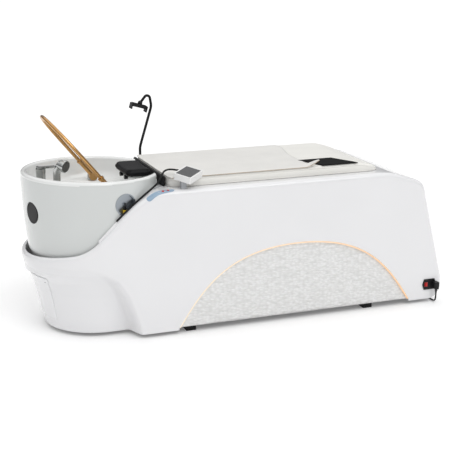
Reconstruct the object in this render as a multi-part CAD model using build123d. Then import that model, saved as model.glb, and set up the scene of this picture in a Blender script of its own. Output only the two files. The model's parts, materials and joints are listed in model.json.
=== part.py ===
from build123d import *
import math
import os

# Shampoo backwash unit: a lie-down washing bed with a round basin at its head end.
# Millimetres. +X runs from the basin end to the foot end, -Y is the client's right-hand side,
# +Z is up. The origin is on the floor at the middle of the unit.

# ---- driving dimensions -------------------------------------------------------------------
HALF_WIDTH = 318          # half the width of the body, and the radius of its round nose
BASIN_X = -632            # vertical axis of the basin and of the nose
FOOT_X = 945              # foot end of the body
FOOT_CORNER = 45          # plan radius of the foot corners
SKIRT_Z = 18              # lower edge of the body above the floor
DECK_Z = 636              # deck that the mattress lies on
WALL = 8                  # thickness of the glass-fibre mouldings

LIP_Z = 349               # top of the lip at the nose tip
RIM_Z = 690               # top of the basin rim
RIM_RADIUS = 297          # outside radius of the basin rim
LEDGE_Z = 592             # ledge inside the basin that carries the taps
BOWL_RADIUS = 188         # opening of the deep bowl inside the ledge
BOWL_FLOOR_Z = 434
NECK_X = -388             # flat neck side of the basin

MATTRESS_HEAD_X = -369
MATTRESS_FOOT_X = 640
MATTRESS_HALF = 262
MATTRESS_TOP_Z = 678

ARCH_X = 212              # middle of the arched side panels
ARCH_HALF = 560
ARCH_BASE_Z = 28
ARCH_TOP_Z = 358

FRAME_Z = 24              # underside of the steel frame
TUBE = 40                 # square tube of the frame
CROSSBAR_X = (-285, 573)
CROSSBAR_WIDTH = 45
FOOT_Y = 290

HOOP_PIVOT_X = -583
HOOP_PIVOT_Z = 612
HOOP_LEAN = 50.8          # degrees above the horizontal, leaning over the outer rim
HOOP_HALF = 190
HOOP_REACH = 402
HOOP_TUBE = 8             # tube radius

MIXER = (-853, 20)
SHOWER = (-812, -112)
HEADREST_Z = 648          # axis of the headrest rods
ROD_Y = 36
ROD_RADIUS = 7

VALVE_ANGLE = -77         # direction of the service port round the basin
VALVE_Z = 588
CAP_ANGLE = -162
CAP_Z = 539

PHONE_ARM = (-335, 280)   # base of the gooseneck
ARM_RADIUS = 6
CONTROLLER = Location((-287, -277, 704), (13, 0, -49.5))
CONTROLLER_SIZE = (84, 102, 28)

INLET = (876, 88)         # middle of the mains inlet on the side wall
FIT = 0.3                 # gap left between neighbouring parts


# ---- helpers ------------------------------------------------------------------------------
def save(name, *pieces):
    """Write one node; several pieces become a group of separate solids."""
    shape = pieces[0] if len(pieces) == 1 else Compound(children=list(pieces))
    export_step(shape, f"parts/{name}.step")


def block(x0, x1, y0, y1, z0, z1):
    centre = Pos((x0 + x1) / 2, (y0 + y1) / 2, (z0 + z1) / 2)
    return centre * Box(x1 - x0, y1 - y0, z1 - z0)


def rod(start, end, radius):
    """Round bar between two points."""
    axis = Vector(*end) - Vector(*start)
    return Solid.make_cylinder(radius, axis.length, Plane(origin=start, z_dir=axis))


def ring(plane, outer, inner, height):
    return Solid.make_cylinder(outer, height, plane) - Solid.make_cylinder(inner, height, plane)


def turned(section, x=BASIN_X, y=0):
    """Solid of revolution about a vertical axis from (radius, height) points."""
    face = Plane.XZ * make_face(Polyline(*section, close=True))
    return Pos(x, y, 0) * revolve(face, axis=Axis.Z)


def across(face, y0, y1):
    """Extrude a face drawn in X and Z from y0 to y1."""
    return extrude(Plane.XZ.offset(-y1) * face, amount=y1 - y0)


def upright(face, z0, z1):
    return extrude(Pos(0, 0, z0) * face, amount=z1 - z0)


def radial_plane(angle, radius, z):
    """Plane square to a radius of the basin, its normal pointing outwards."""
    direction = Vector(math.cos(math.radians(angle)), math.sin(math.radians(angle)), 0)
    return Plane(origin=Vector(BASIN_X, 0, z) + direction * radius, z_dir=direction)


def plan_face(inset):
    """Plan outline of the body: round nose, straight sides, rounded foot corners."""
    radius = HALF_WIDTH - inset
    length = FOOT_X - inset - BASIN_X
    flank = Pos(BASIN_X + length / 2, 0) * Rectangle(length, 2 * radius)
    flank = fillet(flank.vertices().sort_by(Axis.X)[-2:], FOOT_CORNER - inset)
    return Pos(BASIN_X, 0) * Circle(radius) + flank


def side_face(inset, bottom):
    """Side outline: lip at the nose, S-curve up to the deck, sloping foot end."""
    line = FilletPolyline(
        (-980, bottom),
        (-980, LIP_Z - 6 - inset),
        (-738, 388 - inset),
        (-545, 577 - inset),
        (-440, DECK_Z - inset),
        (660, DECK_Z - inset),
        (830 - inset / 2, 577 - inset),
        (FOOT_X - inset, 110),
        (FOOT_X - inset, bottom),
        (FOOT_X - 120, bottom),
        radius=[0, 200, 300, 100, 300, 70, 120, 60 - inset],
    )
    return make_face(line + Line((FOOT_X - 120, bottom), (-980, bottom)))


def nose_core(inset, bottom):
    """The tapered lower part of the nose, under the lip, with its straight run aft."""
    section = [
        (0, bottom), (228 - inset, bottom), (243 - inset, 90), (263 - inset, 184),
        (282 - inset, 245), (296 - inset, 270), (310 - inset, 293), (HALF_WIDTH - inset, 325),
        (0, 325),
    ]
    half = make_face(Polyline(*section, close=True))
    run = extrude(Plane((BASIN_X, 0, 0), x_dir=(0, 1, 0), z_dir=(1, 0, 0)) * half, amount=120)
    return turned(section) + run + mirror(run, about=Plane.XZ)


def relief(inset):
    """Everything under the arch that frames the nose, outside the tapered core."""
    line = FilletPolyline(
        (-1000, -50), (-1000, 322 + inset), (-770, 322 + inset), (-655 + inset, 262 + inset),
        (-580 + inset, 110), (-556 + inset, -50), radius=[0, 100, 150, 150],
    )
    face = make_face(line + Line((-556 + inset, -50), (-1000, -50)))
    return across(face, -400, 400) - nose_core(inset, -60)


def body_block(inset, bottom):
    """Solid outer form of the body, or the form of its inside when inset."""
    form = upright(plan_face(inset), bottom, 700)
    form = form & across(side_face(inset, bottom), -400, 400)
    return form - relief(inset)


def arch_face(grow):
    """Arched outline of the side panels, grown by a margin above the same base line."""
    half = ARCH_HALF + grow
    rise = ARCH_TOP_Z - ARCH_BASE_Z + grow
    left = [(ARCH_X - half, ARCH_BASE_Z), (ARCH_X - half * 0.84, ARCH_BASE_Z + rise * 0.39),
            (ARCH_X - half * 0.59, ARCH_BASE_Z + rise * 0.765)]
    right = [(2 * ARCH_X - x, z) for x, z in reversed(left)]
    curve = Spline(*left, (ARCH_X, ARCH_BASE_Z + rise), *right)
    return make_face(curve + Line(right[-1], left[0]))


# ---- body -----------------------------------------------------------------------------------
def basin_outside(gap):
    """Outline that the basin presents to the body, as (radius, height) points."""
    return [(0, 300), (280 + gap, 300), (280 + gap, 340), (288 + gap, 362), (296 + gap, 480),
            (RIM_RADIUS + gap, 680), (RIM_RADIUS + gap, 720), (0, 720)]


def nose_wedge(half_angle, z0, z1):
    reach = 420
    side = reach * math.tan(math.radians(half_angle))
    face = make_face(Polyline((0, 0), (-reach, side), (-reach, -side), close=True))
    return upright(Pos(BASIN_X, 0) * face, z0, z1)


def panel_screws():
    """Four screws at the corners of the nose access panel."""
    screws = []
    for angle in (180 - 27, 180 + 27):
        for z, radius in ((82, 241), (240, 281)):
            plane = radial_plane(angle, radius - 12, z)
            screws.append(Solid.make_cylinder(4, 15, plane))
    return screws


def body_shell():
    shell = body_block(0, SKIRT_Z) - body_block(WALL, SKIRT_Z + WALL)
    base_opening = upright(plan_face(WALL), SKIRT_Z - 5, SKIRT_Z + WALL + 5) - relief(WALL)
    shell = shell - (base_opening & block(-1000, FOOT_X - 70, -400, 400, 0, 60))
    well = turned(basin_outside(3)) & block(-1000, NECK_X + 3, -400, 400, 300, 720)
    shell = shell - well
    for y0 in (-HALF_WIDTH - 5, HALF_WIDTH - WALL - 0.5):
        y1 = y0 + WALL + 5.5
        shell = shell - across(arch_face(0), y0, y1)
        shell = shell - block(ARCH_X - ARCH_HALF, ARCH_X + ARCH_HALF, y0, y1, 0, ARCH_BASE_Z + 0.5)
    shell = shell - nose_wedge(31, 62, 262)
    x, z = INLET
    return shell - block(x - 30, x + 30, -HALF_WIDTH - 5, -HALF_WIDTH + 40, z - 19, z + 19)


def nose_access_panel(screws):
    skin = nose_core(0, -60) - nose_core(WALL, -70)
    panel = skin & nose_wedge(30.7, 64, 260)
    for screw in screws:
        panel = panel - screw
    return panel


def arch_panel(side):
    """Textured infill panel behind the arched opening; side is -1 near, 1 far."""
    inner = side * (HALF_WIDTH - WALL - FIT - 6)
    outer = side * (HALF_WIDTH - WALL - FIT)
    return across(arch_face(14), min(inner, outer), max(inner, outer))


def light_strip(side):
    """Flexible light strip round the edge of the arched opening."""
    inner = side * (HALF_WIDTH - WALL)
    outer = side * (HALF_WIDTH - 2)
    low, high = min(inner, outer), max(inner, outer)
    strip = across(arch_face(-FIT), low, high) - across(arch_face(-9), low, high)
    return strip & block(-700, 900, -400, 400, ARCH_BASE_Z + FIT, 400)


def base_frame():
    """Welded square-tube ladder with two wide crossbars, and the stand under the basin."""
    top = FRAME_Z + TUBE
    frame = None
    for y in (-170, 170):
        rail = block(-700, 720, y - TUBE / 2, y + TUBE / 2, FRAME_Z, top)
        frame = rail if frame is None else frame + rail
    for x in CROSSBAR_X:
        frame = frame + block(x - CROSSBAR_WIDTH / 2, x + CROSSBAR_WIDTH / 2, -FOOT_Y, FOOT_Y,
                              FRAME_Z, top)
    frame = frame + block(-700, -660, -190, 190, FRAME_Z, top)
    for y in (-110, 110):
        frame = frame + block(-652, -612, y - 20, y + 20, top, 420)
        frame = frame + block(-700, -560, y - 20, y + 20, FRAME_Z + 10, top)
        frame = frame + block(-652, -612, min(y, y * 1.4), max(y, y * 1.4), FRAME_Z, top)
    plate = Solid.make_cylinder(135, 6, Plane((BASIN_X, 0, 420)))
    plate = plate - Solid.make_cylinder(60, 6, Plane((BASIN_X, 0, 420)))
    frame = frame + plate
    for x in CROSSBAR_X:
        for y in (-170, 170):
            frame = frame + block(x - 15, x + 15, y - 15, y + 15, top, DECK_Z - WALL - 20)
    for y in (-170, 170):
        frame = frame + block(CROSSBAR_X[0] - 15, CROSSBAR_X[1] + 15, y - 15, y + 15,
                              DECK_Z - WALL - 40, DECK_Z - WALL - 10)
    return frame


def rubber_feet():
    feet = []
    for x in CROSSBAR_X:
        for y in (-FOOT_Y + 23, FOOT_Y - 23):
            feet.append(block(x - 22, x + 22, y - 23, y + 23, 0, FRAME_Z))
    for y in (-150, 150):
        feet.append(block(-700, -660, y - 20, y + 20, 0, FRAME_Z))
    return feet


# ---- basin ------------------------------------------------------------------------------------
def basin():
    """Double-skinned tub of the basin, open on its flat neck side."""
    section = [
        (280, 340), (288, 362), (296, 480), (RIM_RADIUS, 680), (291, RIM_Z), (276, RIM_Z),
        (269, 680), (262, 602), (257, LEDGE_Z), (249, LEDGE_Z), (249, LEDGE_Z - WALL),
        (257, LEDGE_Z - WALL), (269, 597), (276, 674), (280, 682), (288, 682), (289, 674),
        (288, 480), (280, 364), (272, 342),
    ]
    tub = turned(section) & block(-1000, NECK_X - 10.3, -400, 400, 300, 720)
    tub = tub - Solid.make_cylinder(47, 20, radial_plane(CAP_ANGLE, 284, CAP_Z))
    tub = tub - Solid.make_cylinder(44.5, 20, radial_plane(VALVE_ANGLE, 284, VALVE_Z))
    return tub


def basin_bowl():
    """Bowl with the ledge for the taps, set inside the tub."""
    section = [
        (249 - FIT, LEDGE_Z), (BOWL_RADIUS, LEDGE_Z), (182, 584), (160, 462), (140, 446),
        (36, BOWL_FLOOR_Z), (36, BOWL_FLOOR_Z - WALL), (146, 437), (168, 455), (190, 576),
        (196, LEDGE_Z - WALL), (249 - FIT, LEDGE_Z - WALL),
    ]
    bowl = turned(section) & block(-1000, NECK_X - 10.3, -400, 400, 300, 720)
    x, y = SHOWER
    return bowl - Solid.make_cylinder(15, 40, Plane((x, y, LEDGE_Z - 20)))


def neck_sill():
    """Flat wall that closes the tub under the neck, with a round notch for the neck."""
    solid = turned(basin_outside(0))
    sill = solid & block(NECK_X - 10, NECK_X, -400, 400, LEDGE_Z - WALL, 662)
    return sill - Solid.make_cylinder(110, 30, Plane(origin=(NECK_X - 20, 0, 725),
                                                     z_dir=(1, 0, 0)))


def basin_cap():
    """Round black plug in the outer skin."""
    stem = Solid.make_cylinder(46.6, 14, radial_plane(CAP_ANGLE, 285.5, CAP_Z))
    dome = Solid.make_cylinder(40, 1.5, radial_plane(CAP_ANGLE, 299.5, CAP_Z))
    return stem + dome


def service_port():
    """Metal cup with the stopcock's stem, its bezel, and the arm and yellow grip."""
    axis = Plane((BASIN_X, 0, 500))
    cup = ring(radial_plane(VALVE_ANGLE, 283, VALVE_Z), 44, 41.5, 14)
    cup = cup & Solid.make_cylinder(RIM_RADIUS - 0.5, 200, axis)
    cup = cup + Solid.make_cylinder(44, 2, radial_plane(VALVE_ANGLE, 281, VALVE_Z))
    bezel = ring(radial_plane(VALVE_ANGLE, 280, VALVE_Z), 47, 42, 40)
    bezel = bezel & ring(axis, RIM_RADIUS + 1.7, RIM_RADIUS + 0.1, 200)
    stem = Solid.make_cylinder(7, 5, radial_plane(VALVE_ANGLE, 283.2, VALVE_Z))
    arm_plane = radial_plane(VALVE_ANGLE, 288.4, VALVE_Z)
    down = -1 if arm_plane.y_dir.Z > 0 else 1
    arm = arm_plane * Pos(0, down * 9, 2) * Box(7, 30, 4)
    grip = arm_plane * Pos(0, down * 30.5, 3) * Box(22, 13, 8)
    return cup + stem, bezel, arm, grip


def waste_pipe(radius, start, bottom):
    """Bent pipe from the side of the trap down to the waste connection."""
    knee = (BASIN_X + 92, 0, 345)
    level = rod((BASIN_X + start, 0, 345), knee, radius)
    tail = rod((BASIN_X + 92, 0, bottom), knee, radius)
    return level + tail + Pos(*knee) * Sphere(radius)


def drain_parts():
    """Drain flange, lift-out strainer and bottle trap under the bowl."""
    flange = turned([(20, BOWL_FLOOR_Z - 30), (24, BOWL_FLOOR_Z - 30), (24, BOWL_FLOOR_Z - 3),
                     (35.5, BOWL_FLOOR_Z - 3), (35.5, BOWL_FLOOR_Z + 1), (20, BOWL_FLOOR_Z + 1)])
    strainer = turned([(0, BOWL_FLOOR_Z + 1.3), (30, BOWL_FLOOR_Z + 1.3), (28, BOWL_FLOOR_Z + 5),
                       (5, BOWL_FLOOR_Z + 7), (5, BOWL_FLOOR_Z + 16), (0, BOWL_FLOOR_Z + 16)])
    strainer = strainer + Solid.make_cylinder(17, 12, Plane((BASIN_X, 0, BOWL_FLOOR_Z - 10.5)))
    for index in range(8):
        angle = math.radians(index * 45)
        spot = (BASIN_X + 12 * math.cos(angle), 12 * math.sin(angle), BOWL_FLOOR_Z - 12)
        strainer = strainer - Solid.make_cylinder(2.2, 22, Plane(spot))
    trap = turned([(0, 300), (38, 300), (38, 372), (24, 384), (24, BOWL_FLOOR_Z - 30.3),
                   (19, BOWL_FLOOR_Z - 30.3), (19, 384), (33, 370), (33, 306), (0, 306)])
    nut = rod((BASIN_X + 92, 0, 300), (BASIN_X + 92, 0, 318), 21)
    outlet = (waste_pipe(16, 32, 200) + nut) - waste_pipe(13, 20, 190)
    return flange, strainer, trap + outlet


# ---- taps -------------------------------------------------------------------------------------
def mixer_parts():
    """Mixer body on the ledge, its swivelling cap, and the lever on the cap."""
    x, y = MIXER
    foot = Solid.make_cylinder(25, 5, Plane((x, y, LEDGE_Z + FIT)))
    stem = Solid.make_cylinder(20, 84, Plane((x, y, LEDGE_Z + 5)))
    cap = Solid.make_cylinder(21.5, 19, Plane((x, y, LEDGE_Z + 89.5)))
    ears = block(x - 17, x - 7, y - 14, y - 11, LEDGE_Z + 108, LEDGE_Z + 118)
    ears = ears + block(x - 17, x - 7, y + 11, y + 14, LEDGE_Z + 108, LEDGE_Z + 118)
    lever = block(x - 16, x + 62, y - 10.5, y + 10.5, LEDGE_Z + 110, LEDGE_Z + 117)
    lever = lever - block(x - 25, x - 5, y - 12, y + 12, LEDGE_Z + 100, LEDGE_Z + 111)
    pivot = rod((x - 12, y - 10.8, LEDGE_Z + 113), (x - 12, y + 10.8, LEDGE_Z + 113), 2)
    return foot + stem, cap + ears, lever + pivot


def shower_parts():
    """Dock in the ledge, hand shower standing in it, and the shower's nozzle plate."""
    x, y = SHOWER
    dock = ring(Plane((x, y, LEDGE_Z + FIT)), 20, 13.2, 16)
    dock = dock + ring(Plane((x, y, LEDGE_Z - 24)), 14.5, 13.2, 24 + FIT)
    facing = Location((x, y, 0), (0, 0, -50))
    stem = Solid.make_cylinder(13, LEDGE_Z + 22 - 580, Plane((0, 0, 580)))
    path = FilletPolyline((0, 0, LEDGE_Z + 17), (0, 0, 722), (34, 0, 753), radius=55)
    handle = sweep(Plane(origin=(0, 0, LEDGE_Z + 17), z_dir=(0, 0, 1)) * Circle(15.5), path=path)
    head_plane = Plane(origin=(12, 0, 744), z_dir=(math.cos(math.radians(12)), 0,
                                                   -math.sin(math.radians(12))))
    head = Solid.make_cone(17, 26, 30, head_plane)
    head = head + Solid.make_cylinder(26, 8, head_plane.offset(30))
    plate = Solid.make_cylinder(22, 2.5, head_plane.offset(38.1))
    handle = stem + handle + head
    return dock, facing * handle, facing * plate


# ---- spray hoop ---------------------------------------------------------------------------------
def hoop_plane(y=0):
    """Plane of the hoop: local x across the unit, local y up the leaning legs."""
    lean = math.radians(HOOP_LEAN)
    along = Vector(-math.cos(lean), 0, math.sin(lean))
    across_unit = Vector(0, 1, 0)
    return Plane(origin=(HOOP_PIVOT_X, y, HOOP_PIVOT_Z), x_dir=across_unit,
                 z_dir=across_unit.cross(along))


def hoop_parts():
    """Gold spray hoop, its sleeves with collars, the pivot discs and the fixed pods."""
    plane = hoop_plane()
    straight = HOOP_REACH - HOOP_HALF
    line = Line((-HOOP_HALF, 16), (-HOOP_HALF, straight))
    line = line + ThreePointArc((-HOOP_HALF, straight), (0, HOOP_REACH), (HOOP_HALF, straight))
    line = line + Line((HOOP_HALF, straight), (HOOP_HALF, 16))
    path = plane * line
    start = plane.from_local_coords((-HOOP_HALF, 16, 0))
    end = plane.from_local_coords((-HOOP_HALF, 20, 0))
    section = Plane(origin=start, z_dir=end - start) * Circle(HOOP_TUBE)
    hoop = sweep(section, path=path)

    sleeves, discs, pods = [], [], []
    for side in (-1, 1):
        leg = Plane(origin=plane.from_local_coords((side * HOOP_HALF, 19, 0)), z_dir=end - start)
        sleeve = ring(leg, HOOP_TUBE + 2.3, HOOP_TUBE, 72)
        sleeve = sleeve + ring(leg.offset(72), HOOP_TUBE + 5, HOOP_TUBE, 8)
        sleeves.append(sleeve)
        y = side * HOOP_HALF
        disc = rod((HOOP_PIVOT_X, y - side * 10, HOOP_PIVOT_Z),
                   (HOOP_PIVOT_X, y + side * 10.8, HOOP_PIVOT_Z), 18.5)
        stub = rod((HOOP_PIVOT_X, y + side * 10.8, HOOP_PIVOT_Z),
                   (HOOP_PIVOT_X, y + side * 28, HOOP_PIVOT_Z), 6)
        discs.append((disc + stub) - hoop)
        low, high = sorted((y + side * 11.3, y + side * 31))
        pod = block(HOOP_PIVOT_X - 20, HOOP_PIVOT_X + 20, low, high, LEDGE_Z + FIT, HOOP_PIVOT_Z)
        pod = pod + rod((HOOP_PIVOT_X, low, HOOP_PIVOT_Z), (HOOP_PIVOT_X, high, HOOP_PIVOT_Z), 20)
        pod = pod & block(-700, -500, -300, 300, LEDGE_Z + FIT, 700)
        bore = rod((HOOP_PIVOT_X, low - 1, HOOP_PIVOT_Z), (HOOP_PIVOT_X, high + 1, HOOP_PIVOT_Z),
                   6.05)
        pods.append(pod - bore)
    return hoop, sleeves, discs, pods


# ---- headrest and mattress ------------------------------------------------------------------------
def headrest_parts():
    """Pillow on a plate, carried by two rods that slide in guides under the mattress."""
    rods, knobs, guides = [], [], []
    for y in (-ROD_Y, ROD_Y):
        rods.append(rod((-486, y, HEADREST_Z), (-296, y, HEADREST_Z), ROD_RADIUS))
        knobs.append(rod((-500, y, HEADREST_Z), (-486, y, HEADREST_Z), 10))
        guide = block(MATTRESS_HEAD_X + 1, -292, y - 14, y + 14, DECK_Z + FIT, 660)
        bore = rod((MATTRESS_HEAD_X - 5, y, HEADREST_Z), (-280, y, HEADREST_Z),
                   ROD_RADIUS + 0.05)
        guides.append(guide - bore)
    plate = block(-484, -412, -80, 80, HEADREST_Z + ROD_RADIUS + 0.2, 662)
    pillow = block(-507, -395, -105, 105, 662 + FIT, 694)
    pillow = fillet(pillow.edges().filter_by(Axis.Z), 18)
    pillow = fillet(pillow.edges().group_by(Axis.Z)[-1], 9)
    return rods, knobs, guides, plate, pillow


def neck_seal():
    """Rubber bumper strip across the head edge of the mattress, holed for the rods."""
    strip = block(-386, -371, -226, 226, DECK_Z + 1, 680)
    strip = fillet(strip.edges().filter_by(Axis.Z), 5)
    for y in (-ROD_Y, ROD_Y):
        strip = strip - rod((-395, y, HEADREST_Z), (-365, y, HEADREST_Z), ROD_RADIUS + 2)
    return strip


def mattress_side(lift, x0, bottom):
    """Side outline of the mattress: flat top and a waterfall foot end."""
    top = MATTRESS_TOP_Z + lift
    line = FilletPolyline((x0, bottom), (x0, top), (545, top), (MATTRESS_FOOT_X - 8, 650 + lift),
                          (MATTRESS_FOOT_X, bottom), radius=[0, 120, 20])
    return make_face(line + Line((MATTRESS_FOOT_X, bottom), (x0, bottom)))


def mattress_plan(inset, corner):
    length = MATTRESS_FOOT_X - MATTRESS_HEAD_X - 2 * inset
    middle = (MATTRESS_FOOT_X + MATTRESS_HEAD_X) / 2
    return Pos(middle, 0) * RectangleRounded(length, 2 * (MATTRESS_HALF - inset), corner)


def mattress_board():
    board = upright(mattress_plan(25, 45), DECK_Z + FIT, DECK_Z + 12)
    board = board & block(-400, 600, -300, 300, 600, 700)
    for y in (-ROD_Y, ROD_Y):
        board = board - block(-400, -290, y - 15, y + 15, 600, 700)
    return board


def mattress():
    pad = upright(mattress_plan(0, 65), DECK_Z + FIT, 720)
    pad = pad & across(mattress_side(0, MATTRESS_HEAD_X - 5, DECK_Z - 5), -300, 300)
    pad = pad - (upright(mattress_plan(24.7, 45), DECK_Z - 5, DECK_Z + 12 + FIT)
                 & block(-400, 600.3, -300, 300, 600, 700))
    for y in (-ROD_Y, ROD_Y):
        pad = pad - block(-400, -289, y - 15, y + 15, 600, 661)
    return pad


def over_mattress(face, gap, thickness):
    """A thin layer that follows the top of the mattress inside a plan outline."""
    upper = across(mattress_side(gap + thickness, -400, 600), -300, 300)
    lower = across(mattress_side(gap, -405, 595), -301, 301)
    layer = (upper - lower) & upright(face, 640, 720)
    return layer & block(-400, MATTRESS_FOOT_X - 14, -300, 300, 652, 720)


def cover_sheet():
    face = Pos(-36, 0) * RectangleRounded(660, 500, 40)
    return over_mattress(face, FIT, 1.5)


def foot_mat():
    face = make_face(Polyline((342, -259), (522, -259), (458, -118), (297, -116), close=True))
    face = fillet(face.vertices(), 6)
    return over_mattress(face, FIT, 2.6)


# ---- phone holder ---------------------------------------------------------------------------------
def phone_holder_parts():
    """Base flange, gooseneck, ball-jointed cradle and the cradle's sliding jaw."""
    x, y = PHONE_ARM
    base = Solid.make_cylinder(17, 5, Plane((x, y, DECK_Z + FIT)))
    base = base + ring(Plane((x, y, DECK_Z + 5)), 10.5, ARM_RADIUS + 0.05, 20)
    path = FilletPolyline((x, y, DECK_Z + 6), (x, y, 712), (-277, y, 900), (-288, y, 968),
                          (-324, y, 924), radius=[90, 60, 14])
    tube = sweep(Plane(origin=(x, y, DECK_Z + 6), z_dir=(0, 0, 1)) * Circle(ARM_RADIUS), path=path)
    tube = tube + ring(Plane((x, y, DECK_Z + 25.5)), 10.5, ARM_RADIUS - 0.1, 12)
    ball = Pos(-330, y, 917) * Sphere(11)
    tube = tube - (Pos(-330, y, 917) * Sphere(11.3))

    tilt = Location((-336, y, 906), (0, 16.5, 0))
    bar = tilt * Pos(0, 0, -1) * Box(66, 34, 16)
    jaw_fixed = tilt * Pos(-35.5, 0, -9) * Box(5, 40, 27)
    slot = tilt * Pos(18, 0, -3) * Box(44, 20.6, 5.6)
    pivot = rod((-330, y - 13, 917), (-330, y + 13, 917), 4)
    back = (bar + jaw_fixed + ball + pivot) - slot
    jaw = tilt * Pos(36.2, 0, -9) * Box(5, 40, 27)
    jaw = jaw + tilt * Pos(20, 0, -3) * Box(28, 20, 5)
    return base, tube, back, jaw


# ---- controls -------------------------------------------------------------------------------------
def controller_parts():
    """White control box with a touch screen, its foot bracket and the cable gland."""
    width, length, height = CONTROLLER_SIZE
    case = Pos(0, 0, -height / 2) * Box(width, length, height)
    case = fillet(case.edges().filter_by(Axis.Z), 6)
    recess = Pos(0, 0, -1) * Box(width - 12, length - 12, 2)
    screen = Pos(0, 0, -1) * Box(width - 12.4, length - 12.4, 1.6)
    gland_plane = Plane(origin=(-width / 2, 10, -14), z_dir=(-1, 0, 0))
    gland = Solid.make_cone(7, 4.6, 20, gland_plane)
    case = CONTROLLER * (case - recess)
    foot = block(-325, -303, -299, -277, DECK_Z + FIT, 702)
    foot = foot - CONTROLLER * Pos(0, 0, 50) * Box(200, 200, 2 * (height + 50.2))
    return case, CONTROLLER * screen, foot, CONTROLLER * gland


def on_deck(face, gap, thickness):
    """A thin layer that follows the curved shoulder of the body."""
    upper = across(side_face(-gap - thickness, SKIRT_Z), -400, 400)
    lower = across(side_face(-gap, SKIRT_Z - 1), -401, 401)
    return (upper - lower) & upright(face, 560, 660)


def keypad_outline():
    return Pos(-414, -281) * Rot(0, 0, 16) * RectangleRounded(126, 18, 8.9)


def keypad_parts():
    """Membrane keypad strip on the shoulder with two keys, and the grille beside it."""
    strip = on_deck(keypad_outline(), 0.4, 2)
    keys = []
    for along in (12, 34):
        place = Pos(-414, -281) * Rot(0, 0, 16) * Pos(along, 0)
        keys.append(on_deck(place * Circle(5), 1.7, 1.9))
        strip = strip - on_deck(place * Circle(5.3), 1.1, 3)
    grille = on_deck(Pos(-409, -226) * Rot(0, 0, 42) * RectangleRounded(56, 13, 6.4), 0.4, 1.6)
    return strip, keys, grille


def power_inlet():
    """Hexagonal mains inlet flange in the side wall, open for the rocker."""
    x, z = INLET
    face = make_face(Polyline((x - 35, z), (x - 27, z + 25), (x + 27, z + 25), (x + 35, z),
                              (x + 27, z - 25), (x - 27, z - 25), close=True))
    flange = across(face, -HALF_WIDTH - 4, -HALF_WIDTH - 0.2)
    flange = flange + block(x - 29, x + 29, -HALF_WIDTH - 0.2, -HALF_WIDTH + 30, z - 18, z + 18)
    return flange - block(x - 25, x - 8, -HALF_WIDTH - 5, -HALF_WIDTH + 10, z - 11, z + 11)


def rocker_switch():
    """Red rocker that tips about a vertical axis line in the inlet."""
    x, z = INLET[0] - 16.5, INLET[1]
    face = make_face(Polyline((-7.6, -5), (-6.5, 1.2), (0, -0.6), (6.5, 3.2), (7.6, -5), close=True))
    rocker = extrude(Plane(origin=(x, -HALF_WIDTH - 2.6, z - 9.8), x_dir=(1, 0, 0),
                           z_dir=(0, 0, 1)) * mirror(face, about=Plane.XZ), amount=19.6)
    return rocker + rod((x, -HALF_WIDTH, z - 10.8), (x, -HALF_WIDTH, z + 10.8), 1.5)


# ---- water and power inside ---------------------------------------------------------------------
def water_tank():
    tank = block(-180, 160, -140, 140, FRAME_Z + TUBE + 1, 300)
    tank = fillet(tank.edges().filter_by(Axis.Z), 25)
    return tank + Solid.make_cylinder(40, 20, Plane((-10, 0, 300)))


def circulation_pump():
    motor = rod((260, 0, 130), (390, 0, 130), 48)
    head = rod((220, 0, 130), (260, 0, 130), 58)
    mount = block(270, 380, -50, 50, FRAME_Z + TUBE + 1, 90)
    return motor + head + mount + block(235, 250, -146, 146, FRAME_Z + TUBE + 1, 80)


# ---- cords ----------------------------------------------------------------------------------------
CONTROL_CABLE_RADIUS = 4
MAINS_RADIUS = 3.5


def cord_path(points):
    """Straight runs with the largest tangent arcs that they allow; prints each radius."""
    radii = []
    for before, corner, after in zip(points, points[1:], points[2:]):
        run_in = Vector(*corner) - Vector(*before)
        run_out = Vector(*after) - Vector(*corner)
        half_turn = math.radians(run_in.get_angle(run_out)) / 2
        radii.append(0.45 * min(run_in.length, run_out.length) / math.tan(half_turn))
    print("cord radii", [round(radius) for radius in radii])
    return FilletPolyline(*points, radius=radii)


def cord(points, radius):
    path = cord_path(points)
    plane = Plane(origin=points[0], z_dir=Vector(*points[1]) - Vector(*points[0]))
    tube = sweep(plane * Circle(radius), path=path)
    print("cord length", round(path.length), "volume ratio",
          round(tube.volume / (math.pi * radius ** 2 * path.length), 4))
    return tube


def controller_cable_points():
    tip = CONTROLLER * Pos(-CONTROLLER_SIZE[0] / 2 - 20.8, 10, -14)
    x, y, z = tip.position.X, tip.position.Y, tip.position.Z
    return [
        (x, y, z), (x - 20, y + 23, z + 2), (x - 48, y + 20, z - 2), (x - 70, y - 10, 690),
        (-411, -254, 664), (-440, -252, 639), (-477, -271, 621), (-515, -286, 599),
        (-552, -297, 575), (-584, -304, 549), (-612, -306, 525),
    ]


def mains_cord_points():
    """From the inlet plug down to the floor, under the body and out behind it."""
    x = INLET[0] + 27
    floor = MAINS_RADIUS + 0.1
    return [
        (x, -340, 47.8), (x, -340, 32), (x + 1, -334, 10), (x + 3, -314, floor),
        (x + 2, -272, floor), (x - 6, -205, floor), (x - 22, -120, floor), (x - 30, -25, floor),
        (x - 24, 70, floor), (x - 8, 160, floor), (x + 4, 240, floor), (x + 2, 310, floor),
        (x - 12, 362, floor),
    ]


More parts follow.
